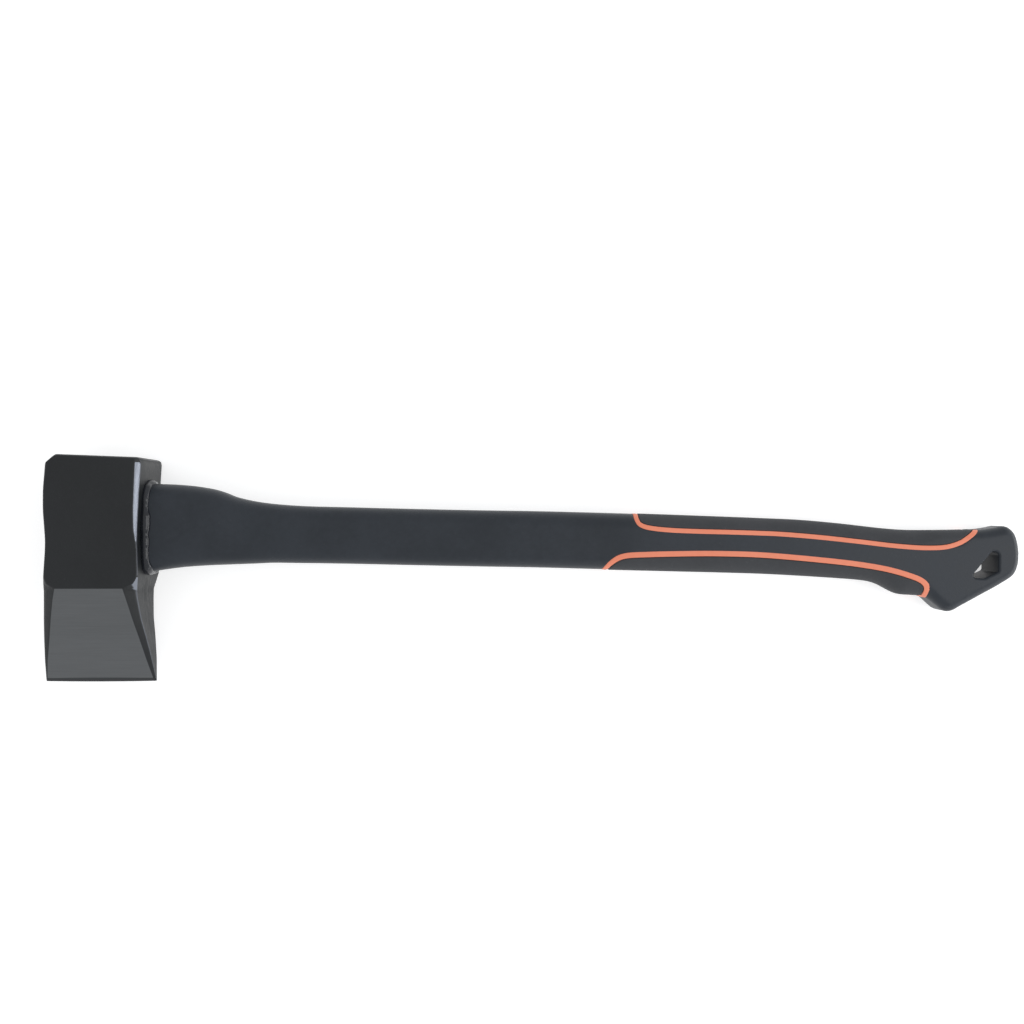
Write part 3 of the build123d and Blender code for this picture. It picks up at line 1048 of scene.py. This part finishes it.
@dataclass
class AccentLine:
    """The middle of one coloured line on a side of the handle, from outline to outline."""

    form: HandleForm
    points: tuple
    upper: bool
    width: float = 3.9
    root: float = 2.6
    pad_rows: int = 26
    pad_proud: float = 0.28
    pad_round: float = 1.3
    pad_depth: float = 2.2

    def __post_init__(self) -> None:
        """Draws the line and its inner edge."""
        self.line = smooth_line(list(self.points), 14)
        gap = np.gradient(self.line, axis=0)
        gap /= np.linalg.norm(gap, axis=1, keepdims=True)
        turn = 1 if self.upper else -1
        inward = np.stack([-gap[:, 1], gap[:, 0]], axis=1) * turn
        edge = self.line + inward * (self.width / 2 + 0.05)
        edge[:, 0] = np.maximum.accumulate(edge[:, 0])
        self.inner = edge

    def inside(self, x: np.ndarray, y: np.ndarray) -> np.ndarray:
        """Distance to the line, positive on the pad's side.

        Args:
            x: along the handle.
            y: across it.

        Returns:
            Signed distances, shaped like x.
        """
        flat = np.stack([x.reshape(-1), y.reshape(-1)], axis=1)
        far, _ = nearest(flat, self.line)
        at = np.interp(flat[:, 0], np.maximum.accumulate(self.line[:, 0]), self.line[:, 1])
        within = (flat[:, 0] > self.line[0, 0]) & (flat[:, 0] < self.line[-1, 0])
        over = (flat[:, 1] > at) if self.upper else (flat[:, 1] < at)
        return np.where(within & over, far, -far).reshape(x.shape)

    def ribbon(self, name: str, finish: bpy.types.Material, node: str) -> bpy.types.Object:
        """Makes the coloured line: a flat strip that runs round the handle on its skin.

        The strip's profile is carried along the line on both sides and across the outline, and
        each of its points is set on the skin before it's raised or sunk.

        Args:
            name: the piece's name.
            finish: its material.
            node: the CAD node that it stands for.

        Returns:
            The ribbon.
        """
        dense = spaced(self.line, 0.05)
        x, y = dense.T
        dense = dense[(y < self.form.top(x)) & (y > self.form.bottom(x))]
        near, _ = self.form.skin(dense[:, 0], dense[:, 1], 1)
        path = spaced(np.concatenate([near, near[::-1] * MIRROR, near[:1]]), 1.0)[:-1]
        side = np.where(path[:, 2] >= 0, 1, -1)
        half = np.interp(path[:, 0], self.form.half_stations, self.form.half_values)
        corner = np.interp(path[:, 0], self.form.corner_stations, self.form.corner_values)
        gap, out = nearest(path[:, :2], self.form.round)
        lean = corner - np.minimum(gap, corner)
        rise = np.clip(np.abs(path[:, 2]) - (half - corner), 0, None)
        normal = np.column_stack([-out * lean[:, None], side * rise])
        normal /= np.linalg.norm(normal, axis=1, keepdims=True)
        ahead = np.roll(path, -1, axis=0) - np.roll(path, 1, axis=0)
        wide = np.cross(normal, ahead)
        wide /= np.linalg.norm(wide, axis=1, keepdims=True)
        w = self.width / 2
        half_profile = np.array([(-w, -self.root), (-w, -0.3), (-w, 0.02), (-w + 0.25, 0.14),
                                 (-w + 0.8, 0.18), (0, 0.2)])
        profile = np.concatenate([half_profile, half_profile[-2::-1] * [-1, 1]])
        sag = profile[:, 0] ** 2 / 2
        bend = np.where(gap < corner, np.abs(wide[:, 2]) / corner, 0)
        drop = sag[:, None] * bend[None]
        rows = (path[None] + wide[None] * profile[:, 0, None, None]
                + normal[None] * (profile[:, 1, None] - drop)[..., None])
        shape = Shape()
        shape.grid(rows, close_u=True, close_v=True)
        piece = shape.build(name)
        place(piece, (node,), finish)
        return piece

    def pad(self, name: str, finish: bpy.types.Material, node: str) -> bpy.types.Object:
        """Makes the soft pad inside the line: it wraps from one side over the outline to the other.

        The outer skin rises from inside the recess to just over the handle, along a quarter
        circle of the distance to the pad's border, and an inner skin closes it below.

        Args:
            name: the piece's name.
            finish: its material.
            node: the CAD node that it stands for.

        Returns:
            The pad.
        """
        start, end = self.inner[0, 0] + 0.02, self.inner[-1, 0] - 0.02
        x = cosine_stations(start, end, 260)
        border = np.interp(x, self.inner[:, 0], self.inner[:, 1])
        if self.upper:
            limit = self.form.top(x)
            border = np.minimum(border, limit - 0.02)
            y = self.form.ring_rows(border, limit, self.pad_rows)
        else:
            limit = self.form.bottom(x)
            border = np.maximum(border, limit + 0.02)
            y = -self.form.ring_rows(-border, -limit, self.pad_rows)
        grid_x = np.broadcast_to(x, y.shape)
        inward, _ = nearest(np.stack([grid_x.reshape(-1), y.reshape(-1)], axis=1), self.inner)
        inward = inward.reshape(y.shape)
        lean = 1 - np.clip(inward / self.pad_round, 0, 1)
        lift = self.pad_proud - self.pad_round * (1 - np.sqrt(1 - lean**2))
        near, up = self.form.skin(grid_x, y, 1)
        outer = near + up * lift[..., None]
        under = near - up * self.pad_depth
        outside = np.concatenate([outer[::-1], outer * MIRROR])
        inside = np.concatenate([under[::-1], under * MIRROR])[::-1]
        shape = Shape()
        number = shape.grid(np.concatenate([outside, inside]), close_u=True)
        shape.cap(number[:, 0])
        shape.cap(number[:, -1], flip=True)
        piece = shape.build(name, weld=0.004)
        place(piece, (node,), finish)
        return piece


@dataclass
class Jacket:
    """The moulded handle jacket with its hanging hole, grip recesses and tongue."""

    form: HandleForm
    lines: tuple
    eye_y: float
    tongue_x: float
    hole_corners: tuple = ((317.3, -4.85, 3.8), (330.1, 8.65, 5.1), (331.2, -0.95, 3.9),
                           (322.5, -5.15, 3.8))
    rim: float = 1.7
    recess: float = 2.6
    tongue: RoundedBox = RoundedBox(27.0, 11.5, 10.5)
    tongue_sides: int = 72
    flare_x: float = 250.0
    side_rows: int = 30

    def _hole_loop(self) -> np.ndarray:
        """The hole's mouth, as a hull of the four rounded corners.

        For each direction the hull's furthest point is the circle that reaches furthest.

        Returns:
            Points round the mouth, anticlockwise from the right.
        """
        angle = np.linspace(0, 2 * math.pi, 1441)[:-1]
        way = np.stack([np.cos(angle), np.sin(angle)], axis=1)
        circles = np.array(self.hole_corners)
        reach = way @ circles[:, :2].T + circles[:, 2]
        pick = circles[reach.argmax(1)]
        hull = pick[:, :2] + way * pick[:, 2:]
        return np.vstack([hull, hull[:1]])

    def _stations(self, left: float, right: float) -> np.ndarray:
        """Where rings stand along the handle: dense at the neck, the hole and the butt."""
        body = np.linspace(self.form.neck_x, left, 420, endpoint=False)
        hole = cosine_stations(left, right, 90)[:-1]
        end = right + (self.form.butt_x - right) * np.sin(np.linspace(0, math.pi / 2, 70))
        return np.concatenate([body, hole, end])

    def _sunk(self, x: np.ndarray, y: np.ndarray, side: int) -> np.ndarray:
        """Skin points, sunk where the coloured lines and pads lie."""
        point, normal = self.form.skin(x, y, side)
        depth = np.zeros(x.shape)
        for line in self.lines:
            depth = np.maximum(depth, ease((line.inside(x, y) + 1.2) / 1.8) * self.recess)
        return point - normal * depth[..., None]

    def _wall(self, ring: np.ndarray) -> np.ndarray:
        """Rounds over from the skin into the hole and goes through to the other side.

        Args:
            ring: the hole's mouth, x and y, one row each.

        Returns:
            Rings from the upper side to the lower one.
        """
        ahead = np.roll(ring, -1, axis=0) - np.roll(ring, 1, axis=0)
        inward = np.stack([ahead[:, 1], -ahead[:, 0]], axis=1)
        inward /= np.maximum(np.linalg.norm(inward, axis=1, keepdims=True), TINY)
        mouth = self._sunk(ring[:, 0], ring[:, 1], 1)
        rows = np.array([
            np.column_stack([ring + inward * self.rim * math.sin(a),
                             mouth[:, 2] - self.rim * (1 - math.cos(a))])
            for a in np.linspace(0, math.pi / 2, 7)])
        return np.concatenate([rows, (rows * MIRROR)[::-1]])

    def _add_tongue(self, shape: Shape) -> None:
        """Adds the plain tongue that runs into the eye."""
        outline = self.tongue.loop(self.tongue_sides)
        tube = np.stack([np.column_stack([np.full(self.tongue_sides, end),
                                          outline[:, 0] + self.eye_y, outline[:, 1]])
                         for end in (self.tongue_x, self.form.neck_x + 0.6)])
        number = shape.grid(tube, close_v=True)
        shape.cap(number[0])
        shape.cap(number[1], flip=True)

    def build(self, finish: bpy.types.Material) -> bpy.types.Object:
        """Makes the jacket: two strips on each side that part at the hole, and its wall.

        Args:
            finish: its material.

        Returns:
            The jacket.
        """
        loop = self._hole_loop()
        left, right = loop[:, 0].min(), loop[:, 0].max()
        first, last = loop[loop[:, 0].argmin()], loop[loop[:, 0].argmax()]
        across = np.interp(loop[:, 0], [first[0], last[0]], [first[1], last[1]])
        high, low = loop[loop[:, 1] >= across - 1e-6], loop[loop[:, 1] <= across + 1e-6]
        high, low = high[np.argsort(high[:, 0])], low[np.argsort(low[:, 0])]
        x = self._stations(left, right)
        top, bottom = self.form.top(x), self.form.bottom(x)
        middle = (top + bottom) / 2
        share = ease((x - self.flare_x) / (left - self.flare_x))
        aim = np.where(x < left, first[1], np.where(x > right, last[1], 0))
        tail = ease((x - right) / (self.form.butt_x - right))
        centre = np.where(x <= left, middle * (1 - share) + aim * share,
                          aim * (1 - tail) + middle * tail)
        in_hole = (x >= left) & (x <= right)
        split_high = np.where(in_hole, np.interp(x, high[:, 0], high[:, 1]), centre)
        split_low = np.where(in_hole, np.interp(x, low[:, 0], low[:, 1]), centre)
        split_high = np.where((x == left) | (np.abs(x - right) < TINY), split_low, split_high)
        upper_y = self.form.ring_rows(split_high, top, self.side_rows)
        lower_y = -self.form.ring_rows(-split_low, -bottom, self.side_rows)
        shape = Shape()
        for y in (upper_y, lower_y):
            near = self._sunk(np.broadcast_to(x, y.shape), y, 1)
            far = near * MIRROR
            shape.grid(near)
            shape.grid(far)
            shape.grid(np.stack([near[0], far[0]]))
            shape.grid(np.stack([near[:, 0], far[:, 0]]))
        ring = np.concatenate([np.stack([x[in_hole], split_high[in_hole]], 1),
                               np.stack([x[in_hole], split_low[in_hole]], 1)[::-1][1:-1]])
        shape.grid(self._wall(ring), close_v=True)
        self._add_tongue(shape)
        piece = shape.build("jacket", weld=0.003)
        place(piece, ("handle_jacket",), finish)
        return piece


# ------------------------------------------------------------------------------ studio
@dataclass(frozen=True)
class SoftLight:
    """A rectangular soft light, by where it hangs, what it faces, its size and its brightness."""

    name: str
    position: tuple
    target: tuple
    size: tuple
    radiance: float
    colour: tuple = (1.0, 1.0, 1.0)

    def make(self) -> None:
        """Hangs the light."""
        data = bpy.data.lights.new(self.name, "AREA")
        data.shape = "RECTANGLE"
        data.size, data.size_y = self.size
        data.energy = math.pi * self.size[0] * self.size[1] * self.radiance
        data.color = self.colour
        lamp = bpy.data.objects.new(self.name, data)
        lamp.location = self.position
        way = Vector(self.target) - Vector(self.position)
        lamp.rotation_euler = way.to_track_quat("-Z", "Y").to_euler()
        bpy.context.scene.collection.objects.link(lamp)


@dataclass
class Studio:
    """Pale floor, soft light and the camera."""

    tilt: float = math.radians(1.15)
    aim: tuple = (-0.015923, 0.0405215, 0.027)
    distance: float = 0.76
    lens: float = 36.885
    dome: float = 0.8
    glow: float = 0.62
    floor_tilt: float = math.radians(1.144)
    floor_foot: float = 0.281
    floor_gap: float = 0.0004
    lights: tuple = (
        SoftLight("end strip", (1.5, -0.1, 0.16), (0.0, 0.0, 0.03), (1.4, 0.3), 5.0),
        SoftLight("low key", (0.75, -1.1, 0.45), (0.1, 0.0, 0.0), (1.2, 0.4), 1.6),
        SoftLight("high side", (0.95, -0.05, 1.2), (0.3, 0.0, 0.03), (0.7, 1.0), 2.2),
    )

    def floor(self) -> None:
        """Lays the floor under the cheek's edge and the butt."""
        side = np.linspace(-4, 4, 9)
        x, y = np.meshgrid(side, side, indexing="ij")
        shape = Shape()
        level = (x + self.floor_foot) * math.tan(self.floor_tilt) - self.floor_gap
        shape.grid(np.stack([x, y, level - MIDDLE_Z * MM], axis=-1) / MM)
        piece = shape.build("floor")
        if piece.data.polygons[0].normal.z < 0:
            piece.data.flip_normals()
        material = bpy.data.materials.new("pale floor")
        material.use_nodes = True
        shader = material.node_tree.nodes["Principled BSDF"]
        shader.inputs["Base Color"].default_value = (0.6, 0.6, 0.6, 1)
        shader.inputs["Roughness"].default_value = 0.9
        shader.inputs["Specular IOR Level"].default_value = 0.1
        shader.inputs["Emission Color"].default_value = (1, 1, 1, 1)
        shader.inputs["Emission Strength"].default_value = self.glow
        piece.data.materials.append(material)

    def set_up(self) -> None:
        """Places floor, light and camera."""
        self.floor()
        for light in self.lights:
            light.make()
        world = bpy.data.worlds.new("soft dome")
        world.use_nodes = True
        ground = world.node_tree.nodes["Background"]
        ground.inputs["Color"].default_value = (0.97, 0.985, 1.0, 1)
        ground.inputs["Strength"].default_value = self.dome
        scene = bpy.context.scene
        scene.world = world
        scene.view_settings.view_transform = "Standard"
        data = bpy.data.cameras.new("camera")
        data.lens, data.sensor_width = self.lens, 36.0
        data.clip_start, data.clip_end = 0.02, 20
        camera = bpy.data.objects.new("camera", data)
        scene.collection.objects.link(camera)
        sine, cosine = math.sin(self.tilt), math.cos(self.tilt)
        back = Vector((-sine, 0, cosine))
        turn = Matrix(((cosine, 0, -sine), (0, 1, 0), (sine, 0, cosine)))
        stand = Matrix.Translation(Vector(self.aim) + back * self.distance)
        camera.matrix_world = stand @ turn.to_4x4()
        scene.camera = camera


# ------------------------------------------------------------------------------ the whole maul
UPPER_LINE = (
    (72.9, 42.0), (72.7, 38.6), (73.0, 35.4), (74.5, 32.2), (78.0, 30.2), (84.6, 28.8),
    (96.4, 27.6), (117.0, 26.7), (140.0, 26.1), (161.0, 25.4), (174.8, 24.8), (203.2, 22.5),
    (231.7, 19.4), (260.1, 16.1), (281.5, 14.8), (295.8, 15.6), (305.8, 18.8), (312.2, 22.9),
    (316.4, 25.9), (319.4, 28.4), (321.0, 31.0),
)
LOWER_LINE = (
    (48.6, -5.0), (50.6, -0.9), (54.0, 3.5), (59.1, 7.4), (65.0, 9.3), (81.6, 10.25),
    (105.3, 10.75), (129.1, 10.85), (160.9, 9.9), (203.2, 6.35), (231.6, 3.1), (252.9, -0.6),
    (267.2, -4.6), (276.6, -8.3), (280.2, -11.3), (281.5, -14.4), (281.6, -18.5), (281.65, -24.0),
)
FINISHES = {
    "head": GroundPaint("black paint and ground steel", (0.0050, 0.0064, 0.0076),
                        (0.0090, 0.0106, 0.0122), 0.46, 0.07, grain=0.00004, grain_scale=900.0,
                        waviness=0.0003, wear=0.3, worn_colour=(0.09, 0.095, 0.105), dust=0.04,
                        specular=0.38),
    "resin": Finish("cured resin", (0.012, 0.012, 0.013), (0.03, 0.03, 0.03), 0.14, 0.04,
                    coat=0.6, waviness=0.0002),
    "seal": Finish("sealing bead", (0.007, 0.008, 0.011), (0.014, 0.016, 0.022), 0.2, 0.05,
                   coat=0.15, waviness=0.0003, specular=0.35),
    "core": Finish("glass fibre", (0.5, 0.42, 0.26), (0.62, 0.55, 0.38), 0.45, grain=0.00005),
    "jacket": Finish("satin jacket", (0.020, 0.024, 0.030), (0.027, 0.032, 0.040), 0.42, 0.05,
                     grain=0.00003, waviness=0.0001, dust=0.05, specular=0.25),
    "liner": Finish("satin orange", (0.72, 0.215, 0.125), (0.78, 0.25, 0.150), 0.5, 0.04,
                    grain=0.00002, specular=0.3),
    "grip": Finish("matt soft pad", (0.040, 0.042, 0.046), (0.050, 0.052, 0.057), 0.66, 0.05,
                   grain=0.00005, grain_scale=1100.0, dust=0.12, specular=0.2),
}


class Maul:
    """The whole tool."""

    def __init__(self, kit: Kit) -> None:
        """Reads where the CAD nodes stand.

        Args:
            kit: the shared shader groups.
        """
        low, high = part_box("head")
        self.middle_x = (low.x + high.x) / 2 / MM
        jacket_low, jacket_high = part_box("handle_jacket")
        self.butt_x = jacket_high.x / MM
        self.tongue_x = jacket_low.x / MM
        resin_low, resin_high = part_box("eye_resin")
        self.eye_y = (resin_low.y + resin_high.y) / 2 / MM
        self.outer_x = resin_low.x / MM - 1.2
        self.finish = {name: finish.make(kit) for name, finish in FINISHES.items()}

    def build(self, nodes: dict) -> None:
        """Builds and dresses every piece.

        Args:
            nodes: the CAD nodes by name.
        """
        form = HandleForm(butt_x=self.butt_x)
        Head(self.middle_x, self.eye_y).build(self.finish["head"])
        filling = EyeFilling(self.eye_y, self.outer_x, form.neck_x)
        filling.disc(self.finish["resin"])
        filling.bead(self.finish["seal"])
        upper = AccentLine(form, UPPER_LINE, True, width=3.3)
        lower = AccentLine(form, LOWER_LINE, False)
        Jacket(form, (upper, lower), self.eye_y, self.tongue_x).build(self.finish["jacket"])
        upper.ribbon("upper_accent", self.finish["liner"], "upper_liner")
        lower.ribbon("lower_accent", self.finish["liner"], "lower_liner")
        upper.pad("upper_pad", self.finish["grip"], "upper_grip")
        lower.pad("lower_pad", self.finish["grip"], "lower_grip")
        core = nodes["core_rod"]
        core.data.materials.clear()
        core.data.materials.append(self.finish["core"])
        log.info("core_rod keeps its own shape")


def main() -> None:
    """Builds the maul's looks and the studio."""
    logging.basicConfig(level=logging.INFO, format="%(name)s: %(message)s")
    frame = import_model()
    maul = Maul(Kit())
    maul.build(frame["nodes"])
    Studio().set_up()


if __name__ == "__main__":
    main()
